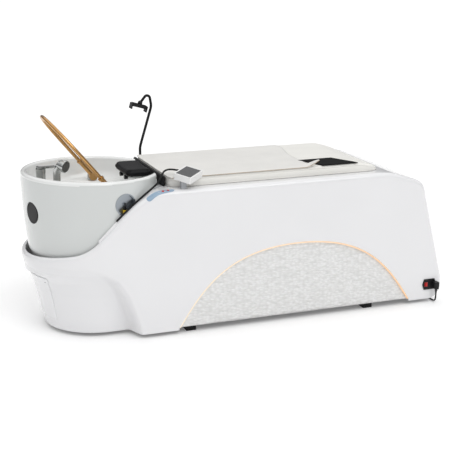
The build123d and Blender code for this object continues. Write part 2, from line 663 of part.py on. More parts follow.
def mains_parts():
    """Angled inlet plug with its strain relief, the lead, its coil and the wall plug."""
    x, z = INLET[0] + 14, INLET[1]
    body = block(x, x + 24, -HALF_WIDTH - 30, -HALF_WIDTH - 4.2, z - 13, z + 13)
    neck = block(x + 4, x + 22, -350, -330, z - 20, z - 13)
    relief_piece = Solid.make_cone(6.5, 4, 20, Plane(origin=(x + 13, -340, z - 20),
                                                     z_dir=(0, 0, -1)))
    plug = body + neck + relief_piece
    points = mains_cord_points()
    lead = cord(points, MAINS_RADIUS)
    end_x, end_y = points[-1][0], points[-1][1]
    coil_x, coil_y = end_x - 45, end_y + 35
    coil = ring(Plane((coil_x, coil_y, 0.1)), 48, 25, 15)
    pins = rod((coil_x + 6, coil_y + 64, 14), (coil_x + 6, coil_y + 83, 14), 2.4)
    pins = pins + rod((coil_x - 13, coil_y + 64, 14), (coil_x - 13, coil_y + 83, 14), 2.4)
    wall_plug = rod((coil_x - 3.5, coil_y + 49, 14), (coil_x - 3.5, coil_y + 65, 14), 13.5)
    return plug, lead, coil, wall_plug + pins


# ---- writing ------------------------------------------------------------------------------------
def main():
    os.makedirs("parts", exist_ok=True)
    save("body_shell", body_shell())
    screws = panel_screws()
    save("access_panel_screws", *screws)
    save("nose_access_panel", nose_access_panel(screws))
    for name, side in (("near", -1), ("far", 1)):
        save(f"arch_panel_{name}", arch_panel(side))
    save("light_strips", *[light_strip(side) for side in (-1, 1)])
    save("base_frame", base_frame())
    save("rubber_feet", *rubber_feet())

    save("basin", basin())
    save("basin_bowl", basin_bowl())
    save("neck_sill", neck_sill())
    save("basin_cap", basin_cap())
    for name, piece in zip(("port_cup", "port_bezel", "valve_arm", "valve_grip"),
                           service_port()):
        save(name, piece)
    for name, piece in zip(("drain_flange", "strainer", "drain_trap"), drain_parts()):
        save(name, piece)

    for name, piece in zip(("mixer_body", "mixer_cap", "mixer_lever"), mixer_parts()):
        save(name, piece)
    for name, piece in zip(("shower_dock", "hand_shower", "shower_nozzle_plate"), shower_parts()):
        save(name, piece)
    hoop, sleeves, discs, pods = hoop_parts()
    save("spray_hoop", hoop)
    save("hoop_sleeves", *sleeves)
    save("hoop_pivot_discs", *discs)
    save("hoop_pods", *pods)

    rods, knobs, guides, plate, pillow = headrest_parts()
    save("headrest_rods", *rods)
    save("headrest_knobs", *knobs)
    save("headrest_guides", *guides)
    save("headrest_plate", plate)
    save("headrest_pillow", pillow)
    save("neck_seal", neck_seal())
    save("mattress_board", mattress_board())
    save("mattress", mattress())
    save("cover_sheet", cover_sheet())
    save("foot_mat", foot_mat())

    for name, piece in zip(("gooseneck_base", "gooseneck_tube", "phone_cradle", "cradle_jaw"),
                           phone_holder_parts()):
        save(name, piece)
    for name, piece in zip(("controller_case", "controller_screen", "controller_foot",
                            "controller_gland"), controller_parts()):
        save(name, piece)
    save("controller_cable", cord(controller_cable_points(), CONTROL_CABLE_RADIUS))
    strip, keys, grille = keypad_parts()
    save("keypad_strip", strip)
    for index, key in enumerate(keys, start=1):
        save(f"keypad_key_{index}", key)
    save("shoulder_grille", grille)

    save("power_inlet", power_inlet())
    save("rocker_switch", rocker_switch())
    for name, piece in zip(("inlet_plug", "mains_lead", "mains_coil", "wall_plug"), mains_parts()):
        save(name, piece)
    save("water_tank", water_tank())
    save("circulation_pump", circulation_pump())


main()
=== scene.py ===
import json
import math

import bmesh
import bpy
import numpy as np
from mathutils import Matrix, Vector, noise


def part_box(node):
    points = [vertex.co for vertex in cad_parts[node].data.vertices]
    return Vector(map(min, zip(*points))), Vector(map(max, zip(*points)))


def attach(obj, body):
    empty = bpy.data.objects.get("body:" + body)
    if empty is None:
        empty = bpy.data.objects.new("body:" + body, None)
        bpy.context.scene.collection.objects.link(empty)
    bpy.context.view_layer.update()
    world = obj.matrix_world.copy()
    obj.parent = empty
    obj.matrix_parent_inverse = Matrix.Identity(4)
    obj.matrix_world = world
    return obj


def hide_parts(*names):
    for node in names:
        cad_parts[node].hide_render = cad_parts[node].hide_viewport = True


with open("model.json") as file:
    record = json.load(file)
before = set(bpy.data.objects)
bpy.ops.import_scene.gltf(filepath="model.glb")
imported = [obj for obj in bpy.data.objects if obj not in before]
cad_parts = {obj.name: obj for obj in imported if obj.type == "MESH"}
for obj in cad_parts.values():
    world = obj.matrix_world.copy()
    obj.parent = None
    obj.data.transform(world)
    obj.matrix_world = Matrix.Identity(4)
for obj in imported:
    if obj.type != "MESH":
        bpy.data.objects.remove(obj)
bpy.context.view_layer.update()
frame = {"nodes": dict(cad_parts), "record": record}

# Shampoo backwash unit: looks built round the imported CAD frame. Lengths in the shape code are
# millimetres in the row frame, and become metres when a mesh is made.
MM = 0.001


def span(node):
    """Lowest and highest corner of a CAD node, in millimetres."""
    low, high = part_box(node)
    return low / MM, high / MM


# ---- driving values, from the frame ----------------------
SHELL_LOW, SHELL_HIGH = span("body_shell")
BASIN_LOW, BASIN_HIGH = span("basin")
PAD_LOW, PAD_HIGH = span("mattress")
PANEL_LOW, PANEL_HIGH = span("arch_panel_near")
HALF = SHELL_HIGH.y                       # half width of the body and radius of its nose
AXIS = SHELL_LOW.x + HALF                 # X of the basin's axis
FOOT = SHELL_HIGH.x
SKIRT = SHELL_LOW.z
DECK = SHELL_HIGH.z
RIM = (BASIN_HIGH.y - BASIN_LOW.y) / 2    # outside radius of the basin
RIM_TOP = BASIN_HIGH.z
NECK = BASIN_HIGH.x                       # flat neck side of the basin
WALL = 8
ARCH_MID = (PANEL_LOW.x + PANEL_HIGH.x) / 2
ARCH_HALF = (PANEL_HIGH.x - PANEL_LOW.x) / 2 - 14
ARCH_BASE = PANEL_LOW.z
ARCH_TOP = PANEL_HIGH.z - 14
EDGE = 21                                 # rounding between the deck and the sides
LIP_EDGE = 13                             # rounding of the lip round the nose
STRIP = 3.6                               # radius of the light strips


# ---- camera ----------------------------------------------
def add_camera():
    """Long lens, raised a little and set off to the basin end."""
    data = bpy.data.cameras.new("view")
    data.lens = 89.29
    data.sensor_width = 36
    camera = link("view", data)
    camera.location = (-1.786, -4.7315, 1.7276)
    camera.rotation_euler = (math.radians(74.7845), 0, math.radians(-20.7326))
    bpy.context.scene.camera = camera


# ---- mesh helpers ----------------------------------------
def link(name, data, material=None):
    """Object in the scene that shows the data, with its material."""
    piece = bpy.data.objects.new(name, data)
    bpy.context.scene.collection.objects.link(piece)
    if material:
        data.materials.append(material)
    return piece


def make_mesh(name, points, faces, material, smooth=35):
    """Mesh object from points in millimetres; edges sharper than smooth degrees stay crisp."""
    mesh = bpy.data.meshes.new(name)
    mesh.from_pydata([Vector(p) * MM for p in points], [], faces)
    mesh.validate()
    if smooth:
        mesh.shade_smooth()
        mesh.set_sharp_from_angle(angle=math.radians(smooth))
    return link(name, mesh, material)


def close_shape(shape, name):
    """Mesh made from a bmesh, which is freed."""
    mesh = bpy.data.meshes.new(name)
    shape.to_mesh(mesh)
    shape.free()
    return mesh


def shown_mesh(piece):
    """Mesh of a piece as its modifiers or its curve settings show it."""
    graph = bpy.context.evaluated_depsgraph_get()
    return bpy.data.meshes.new_from_object(piece.evaluated_get(graph))


def settle(piece):
    """Apply every modifier of a piece to its mesh."""
    mesh = shown_mesh(piece)
    piece.modifiers.clear()
    piece.data = mesh


def thicken(piece, thickness, offset=0):
    """Make a solid of a skin: thickness in millimetres, centred on it or set to one side."""
    body = piece.modifiers.new("body", "SOLIDIFY")
    body.thickness = thickness * MM
    body.offset = offset


def bridge(rings, closed=True):
    """Quads between successive rings of equal length, as faces over the flattened points."""
    faces = []
    count = len(rings[0])
    last = count if closed else count - 1
    for row in range(len(rings) - 1):
        for i in range(last):
            j = (i + 1) % count
            a, b = row * count, (row + 1) * count
            faces.append((a + i, a + j, b + j, b + i))
    return faces


def loft(name, rings, material, smooth=35, closed=True, caps=True):
    """Skin over rings of equal length, capped at both ends."""
    points = [p for ring_points in rings for p in ring_points]
    faces = bridge(rings, closed)
    if caps:
        count = len(rings[0])
        faces.append(tuple(reversed(range(count))))
        faces.append(tuple(range(len(points) - count, len(points))))
    piece = make_mesh(name, points, faces, material, smooth)
    outward(piece)
    return piece


def outward(piece):
    """Turn all faces outwards."""
    shape = bmesh.new()
    shape.from_mesh(piece.data)
    bmesh.ops.recalc_face_normals(shape, faces=shape.faces)
    shape.to_mesh(piece.data)
    shape.free()


def rounded_line(points, radii, step=5):
    """Polyline whose inner corners are replaced by tangent arcs of the given radii."""
    line = [Vector(points[0])]
    for before, corner, after, radius in zip(points, points[1:], points[2:], radii):
        corner = Vector(corner)
        back = (Vector(before) - corner).normalized()
        ahead = (Vector(after) - corner).normalized()
        turn = math.pi - back.angle(ahead)
        centre = corner + (back + ahead).normalized() * radius / math.cos(turn / 2)
        first = corner + back * radius * math.tan(turn / 2) - centre
        final = corner + ahead * radius * math.tan(turn / 2) - centre
        steps = max(2, math.ceil(math.degrees(turn) / step))
        sweep_angle = first.angle_signed(final)
        for k in range(steps + 1):
            angle = -sweep_angle * k / steps
            spin = Matrix.Rotation(angle, 2)
            line.append(centre + spin @ first)
    line.append(Vector(points[-1]))
    return line


def round_rectangle(x0, x1, y0, y1, corner, per_side=8, per_end=8, per_corner=8):
    """Closed loop of plan points; the count doesn't depend on the sizes."""
    corner = max(0.5, min(corner, (x1 - x0) / 2 - 0.5, (y1 - y0) / 2 - 0.5))
    loop = []
    centres = [(x1 - corner, y0 + corner, -90), (x1 - corner, y1 - corner, 0),
               (x0 + corner, y1 - corner, 90), (x0 + corner, y0 + corner, 180)]
    for index, (cx, cy, start) in enumerate(centres):
        for k in range(per_corner + 1):
            angle = math.radians(start + 90 * k / per_corner)
            loop.append((cx + corner * math.cos(angle), cy + corner * math.sin(angle)))
        nx, ny, turn = centres[(index + 1) % 4]
        there = (nx + corner * math.cos(math.radians(turn)),
                 ny + corner * math.sin(math.radians(turn)))
        here = loop[-1]
        count = per_end if index % 2 == 0 else per_side
        for k in range(1, count):
            t = k / count
            loop.append((here[0] + (there[0] - here[0]) * t, here[1] + (there[1] - here[1]) * t))
    return loop


def quarter(steps, first=1):
    """Sine and cosine at equal steps of a quarter turn."""
    angles = [math.radians(90 * k / steps) for k in range(first, steps + 1)]
    return [(math.sin(angle), math.cos(angle)) for angle in angles]


def ease(value):
    """Smooth step from 0 to 1."""
    value = min(1.0, max(0.0, value))
    return value * value * (3 - 2 * value)


def tube(name, points, radius, material, sides=6):
    """Round tube along one smooth spline whose control points are given in millimetres."""
    curve = bpy.data.curves.new(name, "CURVE")
    curve.dimensions = "3D"
    curve.bevel_depth = radius * MM
    curve.bevel_resolution = sides
    curve.resolution_u = 12
    curve.use_fill_caps = True
    spline = curve.splines.new("NURBS")
    spline.points.add(len(points) - 1)
    for target, point in zip(spline.points, points):
        target.co = (*(Vector(point) * MM), 1)
    spline.order_u = 3
    spline.use_endpoint_u = True
    return link(name, curve, material)


# ---- materials -------------------------------------------
def add_node(owner, kind, values=None, vector=None):
    """Shader node with some of its input values set and its vector input linked."""
    node = owner.node_tree.nodes.new("ShaderNode" + kind)
    for socket, value in (values or {}).items():
        node.inputs[socket].default_value = value
    if vector:
        owner.node_tree.links.new(vector, node.inputs["Vector"])
    return node


def mix_colours(material, factor, first, second):
    """Colour between two others by a factor."""
    mix = add_node(material, "Mix")
    mix.data_type = "RGBA"
    mix.inputs["A"].default_value = (*first, 1)
    mix.inputs["B"].default_value = (*second, 1)
    material.node_tree.links.new(factor, mix.inputs["Factor"])
    return mix.outputs["Result"]


def add_ramp(owner, factor, first, last):
    """Colour ramp between two (position, colour) stops."""
    ramp = add_node(owner, "ValToRGB")
    for stop, (position, colour) in zip(ramp.color_ramp.elements, (first, last)):
        stop.position = position
        stop.color = (*colour, 1)
    owner.node_tree.links.new(factor, ramp.inputs["Fac"])
    return ramp.outputs["Color"]


def surface(name, colour, roughness, metallic=0.0, variation=0.03, scale=18.0, bump=0.0,
            bump_scale=300.0, coat=0.0, sheen=0.0, specular=0.5):
    """Principled surface with slight colour and roughness variation, and a fine bump."""
    material = bpy.data.materials.new(name)
    material.use_nodes = True
    links = material.node_tree.links
    shader = material.node_tree.nodes["Principled BSDF"]
    settings = {"Metallic": metallic, "Coat Weight": coat, "Coat Roughness": 0.06,
                "Sheen Weight": sheen, "Specular IOR Level": specular}
    for socket, value in settings.items():
        shader.inputs[socket].default_value = value
    place = add_node(material, "TexCoord").outputs["Object"]
    cloud = add_node(material, "TexNoise", {"Scale": scale, "Detail": 5}, place).outputs["Fac"]
    tint = add_node(material, "MapRange", {"From Min": 0.3, "From Max": 0.7})
    links.new(cloud, tint.inputs["Value"])
    low = [max(0.0, c * (1 - variation)) for c in colour]
    high = [min(1.0, c * (1 + variation)) for c in colour]
    tinted = mix_colours(material, tint.outputs["Result"], low, high)
    links.new(tinted, shader.inputs["Base Color"])
    rough = add_node(material, "MapRange", {"To Min": roughness * 0.85,
                                            "To Max": min(1.0, roughness * 1.15)})
    links.new(cloud, rough.inputs["Value"])
    links.new(rough.outputs["Result"], shader.inputs["Roughness"])
    if bump:
        grain = add_node(material, "TexNoise", {"Scale": bump_scale, "Detail": 3}, place)
        add_bump(material, grain.outputs["Fac"], bump)
    return material


def add_bump(material, height, strength, distance=0.001):
    """Chain a bump onto the shader's normal."""
    links = material.node_tree.links
    normal = material.node_tree.nodes["Principled BSDF"].inputs["Normal"]
    bump = add_node(material, "Bump", {"Strength": strength, "Distance": distance})
    links.new(height, bump.inputs["Height"])
    if normal.is_linked:
        links.new(normal.links[0].from_socket, bump.inputs["Normal"])
    links.new(bump.outputs["Normal"], normal)


def scaled_place(material, scale=(1, 1, 1), warp=0.0, warp_scale=20.0):
    """Object coordinates stretched by scale, optionally warped by noise."""
    place = add_node(material, "TexCoord").outputs["Object"]
    if warp:
        cloud = add_node(material, "TexNoise", {"Scale": warp_scale}, place)
        push = add_node(material, "VectorMath")
        push.operation = "MULTIPLY_ADD"
        push.inputs[1].default_value = (warp, warp, warp)
        material.node_tree.links.new(cloud.outputs["Color"], push.inputs[0])
        material.node_tree.links.new(place, push.inputs[2])
        place = push.outputs["Vector"]
    return add_node(material, "Mapping", {"Scale": scale}, place).outputs["Vector"]


def embossed_panel_material():
    """White sheet pressed all over with small wavy lozenges."""
    material = surface("embossed_white", (0.80, 0.80, 0.80), 0.3, variation=0.01)
    vector = scaled_place(material, (52, 1, 104), warp=0.012, warp_scale=9)
    cells = add_node(material, "TexVoronoi", {"Scale": 1.0, "Randomness": 0.7}, vector)
    cells.feature = "SMOOTH_F1"
    cells.inputs["Smoothness"].default_value = 0.5
    add_bump(material, cells.outputs["Distance"], 0.9, 0.006)
    # Base colour darkens from each lozenge's middle to its border: painted shade of the embossing, not the
    # sheet's own colour.
    emboss_painted_shade = add_ramp(material, cells.outputs["Distance"], (0.25, (0.84, 0.84, 0.838)),
                    (0.75, (0.70, 0.70, 0.69)))
    shader = material.node_tree.nodes["Principled BSDF"]
    material.node_tree.links.new(emboss_painted_shade, shader.inputs["Base Color"])
    return material


def vinyl_material(name, colour, roughness=0.42):
    """Upholstery vinyl with a fine leather grain."""
    dark = max(colour) < 0.1
    material = surface(name, colour, roughness, variation=0.02, scale=6,
                       specular=0.12 if dark else 0.5)
    cells = add_node(material, "TexVoronoi", {"Scale": 420}, scaled_place(material))
    add_bump(material, cells.outputs["Distance"], 0.25, 0.0004)
    return material


def cloth_material(name, colour):
    """Plain-weave cloth: two crossed fine waves."""
    material = surface(name, colour, 0.85, variation=0.03, scale=9, sheen=0.3)
    for direction in ("X", "Y"):
        wave = add_node(material, "TexWave", {"Scale": 260, "Distortion": 0.6},
                        scaled_place(material))
        wave.bands_direction = direction
        add_bump(material, wave.outputs["Fac"], 0.2, 0.0004)
    return material


def brushed_material(name, colour, roughness):
    """Metal brushed along its height."""
    material = surface(name, colour, roughness, metallic=1.0, variation=0.05)
    streaks = add_node(material, "TexNoise", {"Scale": 1, "Detail": 4},
                       scaled_place(material, (900, 900, 14)))
    add_bump(material, streaks.outputs["Fac"], 0.15, 0.0003)
    return material


def strip_material():
    """Warm diffuser, pale cream at the basin end and amber at the foot end."""
    material = surface("warm_diffuser", (0.88, 0.74, 0.54), 0.35, variation=0.05, scale=25,
                       bump=0.1, bump_scale=200)
    links = material.node_tree.links
    place = add_node(material, "TexCoord").outputs["Object"]
    split = add_node(material, "SeparateXYZ", vector=place)
    along = add_node(material, "MapRange", {"From Min": (ARCH_MID - ARCH_HALF) * MM,
                                            "From Max": (ARCH_MID + ARCH_HALF) * MM})
    links.new(split.outputs["X"], along.inputs["Value"])
    glow = mix_colours(material, along.outputs["Result"], (0.86, 0.76, 0.62), (0.90, 0.58, 0.34))
    shader = material.node_tree.nodes["Principled BSDF"]
    links.new(glow, shader.inputs["Base Color"])
    links.new(glow, shader.inputs["Emission Color"])
    shader.inputs["Emission Strength"].default_value = 0.25
    return material


def screen_material():
    """Dark touch screen behind a fine grid."""
    material = surface("screen_glass", (0.03, 0.033, 0.036), 0.35, variation=0.1)
    values = {"Scale": 60, "Color1": (0.028, 0.03, 0.033, 1), "Color2": (0.045, 0.048, 0.052, 1),
              "Mortar": (0.10, 0.10, 0.10, 1), "Mortar Size": 0.03}
    bricks = add_node(material, "TexBrick", values, scaled_place(material))
    shader = material.node_tree.nodes["Principled BSDF"]
    material.node_tree.links.new(bricks.outputs["Color"], shader.inputs["Base Color"])
    return material


def wood_material():
    """Plywood with a wavy grain."""
    material = surface("plywood", (0.52, 0.36, 0.20), 0.6, variation=0.1)
    wave = add_node(material, "TexWave", {"Scale": 14, "Distortion": 6},
                    scaled_place(material, (1, 8, 8)))
    add_bump(material, wave.outputs["Fac"], 0.3, 0.0005)
    return material


def make_materials():
    """One finished material per slot of the record."""
    made = {
        "gelcoat": surface("gelcoat", (0.80, 0.80, 0.81), 0.2, variation=0.01, scale=3, bump=0.02,
                           bump_scale=40, coat=0.5),
        # basin_gloss is a grey copy of basin_inside's white: painted shade for the darker reflections on
        # the basin's outside.
        "basin_gloss": surface("basin_gloss", (0.62, 0.64, 0.63), 0.14, variation=0.015, scale=4,
                               bump=0.015, bump_scale=35, coat=0.7),
        "basin_inside": surface("basin_inside", (0.80, 0.81, 0.80), 0.14, variation=0.015, scale=4,
                                bump=0.015, bump_scale=35, coat=0.6),
        "arch_panel": embossed_panel_material(),
        "light_strip": strip_material(),
        "frame_steel": surface("powder_coat", (0.05, 0.05, 0.052), 0.55, variation=0.15,
                               bump=0.2, bump_scale=900),
        "screw_steel": brushed_material("screw_steel", (0.35, 0.35, 0.36), 0.35),
        "black_rubber": surface("black_rubber", (0.006, 0.006, 0.007), 0.6, variation=0.2, specular=0.25,
                                bump=0.15, bump_scale=500),
        "black_plastic": surface("black_plastic", (0.006, 0.006, 0.007), 0.45, variation=0.2, specular=0.3,
                                 bump=0.1, bump_scale=700),
        "dark_plastic": surface("dark_plastic", (0.06, 0.06, 0.055), 0.45, variation=0.2,
                                bump=0.1),
        "grey_plastic": surface("grey_plastic", (0.35, 0.36, 0.38), 0.45, bump=0.08),
        "white_plastic": surface("white_plastic", (0.80, 0.80, 0.79), 0.25, variation=0.01,
                                 bump=0.04, bump_scale=600, coat=0.2),
        "yellow_plastic": surface("yellow_plastic", (0.83, 0.55, 0.03), 0.35, bump=0.05),
        "red_plastic": surface("red_plastic", (0.50, 0.015, 0.012), 0.3, bump=0.05),
        "port_metal": brushed_material("port_metal", (0.34, 0.37, 0.40), 0.32),
        "dark_metal": surface("dark_metal", (0.03, 0.03, 0.035), 0.35, metallic=0.8, bump=0.05),
        "chrome": surface("chrome", (0.50, 0.51, 0.50), 0.1, metallic=1.0, variation=0.06),
        "gold": surface("rose_gold", (0.58, 0.33, 0.13), 0.2, metallic=1.0, variation=0.08),
        "black_vinyl": vinyl_material("black_vinyl", (0.007, 0.007, 0.008), 0.42),
        "cream_vinyl": vinyl_material("cream_vinyl", (0.85, 0.84, 0.80)),
        "plywood": wood_material(),
        "sheet_fabric": cloth_material("sheet_fabric", (0.76, 0.75, 0.72)),
        "black_mat": vinyl_material("black_mat", (0.006, 0.006, 0.006), 0.75),
        "screen": screen_material(),
        "keypad_film": surface("keypad_film", (0.27, 0.38, 0.50), 0.3, variation=0.03, bump=0.03),
        "grille_grey": surface("grille_grey", (0.42, 0.43, 0.44), 0.45, bump=0.05),
        "black_cable": surface("black_cable", (0.006, 0.006, 0.006), 0.55, variation=0.1, specular=0.25,
                               bump=0.1, bump_scale=400),
    }
    return made


def dress_frame(made):
    """Give every CAD node its slot's material."""
    for entry in frame["record"]["subparts"]:
        node = frame["nodes"][entry["node"]]
        node.data.materials.clear()
        node.data.materials.append(made[entry["material_slot"]])


# ---- cords -----------------------------------------------
MAINS_ROUTE = [
    (903, -340, 47.8), (903, -340, 32), (904, -334, 10), (906, -314, 3.6), (905, -272, 3.6),
    (897, -205, 3.6), (881, -120, 3.6), (873, -25, 3.6), (879, 70, 3.6), (895, 160, 3.6),
    (907, 240, 3.6), (905, 310, 3.6), (891, 362, 3.6),
]
CONTROL_ROUTE = [
    (-320.2, -221.0, 702.6), (-340.2, -198.0, 704.6), (-368.2, -201.0, 700.6),
    (-390.2, -231.0, 690), (-411, -254, 664), (-440, -252, 639), (-477, -271, 621),
    (-515, -286, 599), (-552, -297, 575), (-584, -304, 549), (-612, -306, 525),
]


def coil_points(low, high, radius, start):
    """A cord wound inside a ring's box: three turns inwards below, then two outwards on top."""
    centre = (low + high) / 2
    outer = (high.x - low.x) / 2 - radius
    tracks = [outer - inset for inset in (0, 7.4, 14.6, 11, 3.8)]
    heights = [low.z + radius] * 3 + [high.z - radius] * 2
    points = []
    per_turn = 14
    for k in range(len(tracks) * per_turn):
        turn, part = divmod(k, per_turn)
        following = min(turn + 1, len(tracks) - 1)
        t = ease((part / per_turn - 0.7) / 0.3)
        reach = tracks[turn] + (tracks[following] - tracks[turn]) * t
        height = heights[turn] + (heights[following] - heights[turn]) * t
        angle = math.radians(start) + math.tau * k / per_turn
        points.append((centre.x + reach * math.cos(angle), centre.y + reach * math.sin(angle),
                       height))
    return points


def curve_length(piece):
    """Length of a curve's centre line, in metres."""
    bare = link("bare", piece.data.copy())
    bare.data.bevel_depth = 0
    points = [v.co.copy() for v in shown_mesh(bare).vertices]
    bpy.data.objects.remove(bare)
    return sum((b - a).length for a, b in zip(points, points[1:]))


def add_cords(made):
    """The mains lead with its coil, and the control box's cable."""
    low, high = span("mains_coil")
    route = MAINS_ROUTE + coil_points(low, high, 3.5, -80)
    lead = tube("mains_cable", route, 3.5, made["black_cable"])
    length = curve_length(lead)
    print("mains lead length", length)
    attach(lead, "bed")
    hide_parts("mains_lead", "mains_coil")
    cable = tube("control_cable", CONTROL_ROUTE, 4, made["black_cable"])
    length = curve_length(cable)
    print("control cable length", length)
    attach(cable, "bed")
    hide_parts("controller_cable")


# ---- body shell ------------------------------------------
LIP = 349                                 # height of the lip round the nose
WALL_ROWS = 64
WELL_ROUND = 4                            # rounding where the deck drops into the basin's well
# Side outline of the deck and the foot as (x, z), with the rounding of each inner corner.
PROFILE = rounded_line(
    [(-980, LIP - 6), (-738, 388), (-545, 577), (-440, DECK), (660, DECK), (830, 577), (FOOT, 110),
     (FOOT, SKIRT), (FOOT - 120, SKIRT)],
    [200, 300, 100, 300, 70, 120, 60])
DECK_LINE = PROFILE[:-8]                  # without the end that turns under the foot
# Half width of the undercut nose, and X of the crease that ends it, each by height.
CORE = [(SKIRT, 229), (90, 243), (184, 263), (245, 282), (270, 296), (293, 310), (325, HALF)]
CREASE = [(15, -554), (91, -574), (184, -607), (255, -648), (318, -731), (325, -757)]
CREASE_BAND = 46


def deck_height(x):
    """Height of the body's top at x."""
    return float(np.interp(x, [p.x for p in DECK_LINE], [p.y for p in DECK_LINE]))


def undercut(x, z):
    """How far the nose is set in under its lip, faded out across the arched crease."""
    depth = HALF - np.interp(z, [p[0] for p in CORE], [p[1] for p in CORE])
    crease = np.interp(z, [p[0] for p in CREASE], [p[1] for p in CREASE])
    return float(depth) * (1 - ease((x - float(crease)) / CREASE_BAND))


def outline_stations():
    """Points and outward normals of the near half outline, from nose tip to the neck."""
    stations = []
    for k in range(73):
        angle = math.radians(180 + 90 * k / 72)
        normal = Vector((math.cos(angle), math.sin(angle), 0))
        stations.append((Vector((AXIS, 0, 0)) + normal * HALF, normal))
    stop = NECK + 3
    for k in range(1, 37):
        x = AXIS + (stop - AXIS) * k / 36
        stations.append((Vector((x, -HALF, 0)), Vector((0, -1, 0))))
    return stations


def edge_radius(x):
    """Rounding of the upper edge, which grows from the lip up the shoulder."""
    return LIP_EDGE + (EDGE - LIP_EDGE) * ease((x + 740) / 200)


def well_point(point):
    """Nearest inner edge of the deck beside the basin, seen from an outline point."""
    reach = RIM + 7
    if point.x <= AXIS:
        return Vector((AXIS, 0, 0)) + (point - Vector((AXIS, 0, 0))).normalized() * reach
    return Vector((point.x, -math.sqrt(reach ** 2 - (point.x - AXIS) ** 2), 0))


def shell_column(point, normal):
    """One column of the skin: up the wall, over the edge, across the deck, into the well."""
    radius = edge_radius(point.x)
    top = deck_height(point.x) - radius
    column = []
    for k in range(WALL_ROWS + 1):
        z = SKIRT + (top - SKIRT) * k / WALL_ROWS
        column.append(point - normal * undercut(point.x, z) + Vector((0, 0, z)))
    for sine, cosine in quarter(8):
        spot = point - normal * radius * (1 - cosine)
        column.append(Vector((spot.x, spot.y, deck_height(spot.x) - radius * (1 - sine))))
    start = point - normal * radius
    goal = well_point(point)
    for k in range(1, 5):
        spot = start.lerp(goal, k / 4)
        column.append(Vector((spot.x, spot.y, deck_height(spot.x))))
    inward = (Vector((AXIS, 0, 0)) - goal).normalized()
    for sine, cosine in quarter(4):
        spot = goal + inward * WELL_ROUND * sine
        column.append(Vector((spot.x, spot.y, deck_height(goal.x) - WELL_ROUND * (1 - cosine))))
    for drop in (20, 55):
        column.append(column[-1] - Vector((0, 0, drop)))
    return column


# One side of the arch, as shares of its half width and its rise.
ARCH_SHAPE = [(1, 0), (0.84, 0.39), (0.59, 0.765), (0, 1)]


def arch_line(grow=0, steps=12):
    """Arched outline as (x, z) points: a natural cubic through seven points."""
    half = ARCH_HALF + grow
    rise = ARCH_TOP - ARCH_BASE + grow
    left = [(-half * across, rise * up) for across, up in ARCH_SHAPE]
    right = [(-x, z) for x, z in reversed(left[:-1])]
    xs, zs = zip(*(left + right))
    knots = np.concatenate([[0], np.cumsum(np.hypot(np.diff(xs), np.diff(zs)))])
    line = []
    for t in np.linspace(0, knots[-1], 6 * steps + 1):
        line.append((ARCH_MID + natural_cubic(knots, xs, t), ARCH_BASE + natural_cubic(knots, zs, t)))
    return line


def natural_cubic(knots, values, t):
    """Value at t of the natural cubic spline through (knots, values)."""
    count = len(knots)
    gaps = np.diff(knots)
    matrix = np.eye(count)
    right = np.zeros(count)
    for i in range(1, count - 1):
        matrix[i, i - 1:i + 2] = gaps[i - 1], 2 * (gaps[i - 1] + gaps[i]), gaps[i]
        right[i] = 6 * ((values[i + 1] - values[i]) / gaps[i]
                        - (values[i] - values[i - 1]) / gaps[i - 1])
    bend = np.linalg.solve(matrix, right)
    i = min(max(int(np.searchsorted(knots, t)) - 1, 0), count - 2)
    a, b, gap = knots[i + 1] - t, t - knots[i], gaps[i]
    return float((bend[i] * a ** 3 + bend[i + 1] * b ** 3) / (6 * gap)
                 + (values[i] / gap - bend[i] * gap / 6) * a
                 + (values[i + 1] / gap - bend[i + 1] * gap / 6) * b)


def side_columns(first_x):
    """Columns of the straight part: edge rounding and deck, along the side profile."""
    line = [Vector((first_x, DECK))]
    line += [Vector((x, DECK)) for x in range(-300, 640, 60)]
    line += [p for p in PROFILE if p.x > 645][:-1]
    line = line[:-1] if line[-1].x < FOOT - 61 else line
    columns = []
    for i, spot in enumerate(line):
        before = line[max(0, i - 1)]
        after = line[min(len(line) - 1, i + 1)]
        along = (after - before).normalized()
        inward = Vector((along.y, -along.x))
        left = len(line) - 1 - i
        radius = EDGE if left > 10 else 2 + (EDGE - 2) * left / 10
        column = []
        for sine, cosine in quarter(8, first=0):
            place = spot + inward * radius * (1 - sine)
            column.append(Vector((place.x, -HALF + radius * (1 - cosine), place.y)))
        edge = -HALF + radius
        inner = well_point(Vector((first_x, -HALF, 0))).y
        for k in range(1, 5):
            column.append(Vector((spot.x, edge + (inner - edge) * k / 4, spot.y)))
        column.append(Vector((spot.x, 0, spot.y)))
        columns.append(column)
    return columns


def add_grid(shape, columns):
    """Vertices for columns of points, with the quads between them."""
    grid = [[shape.verts.new(p * MM) for p in column] for column in columns]
    for left, right in zip(grid, grid[1:]):
        for a, b, c, d in zip(left, right, right[1:], left[1:]):
            shape.faces.new((a, b, c, d))
    return grid


def near_half(shape):
    """Near half of the skin: nose and neck, rounded edge and deck, and the wall round the arch."""
    columns = [shell_column(p, n) for p, n in outline_stations()]
    add_grid(shape, columns)
    sides = side_columns(columns[-1][0].x)
    strips = add_grid(shape, sides)
    neck = strips[0][-2:]
    lower = [shape.verts.new(v.co - Vector((0, 0, 0.08))) for v in neck]
    shape.faces.new((neck[1], neck[0], lower[0], lower[1]))

    wall = list(reversed(columns[-1][:WALL_ROWS + 1]))
    wall.append(Vector((ARCH_MID - ARCH_HALF, -HALF, SKIRT)))
    wall += [Vector((x, -HALF, z)) for x, z in arch_line()]
    wall += [Vector((x, -HALF, SKIRT)) for x in (ARCH_MID + ARCH_HALF, sides[-1][0].x)]
    wall += [column[0] for column in reversed(sides)]
    loop = [shape.verts.new(p * MM) for p in wall]
    edges = [shape.edges.new((a, b)) for a, b in zip(loop, loop[1:] + loop[:1])]
    bmesh.ops.triangle_fill(shape, edges=edges, use_beauty=True, normal=(0, -1, 0))


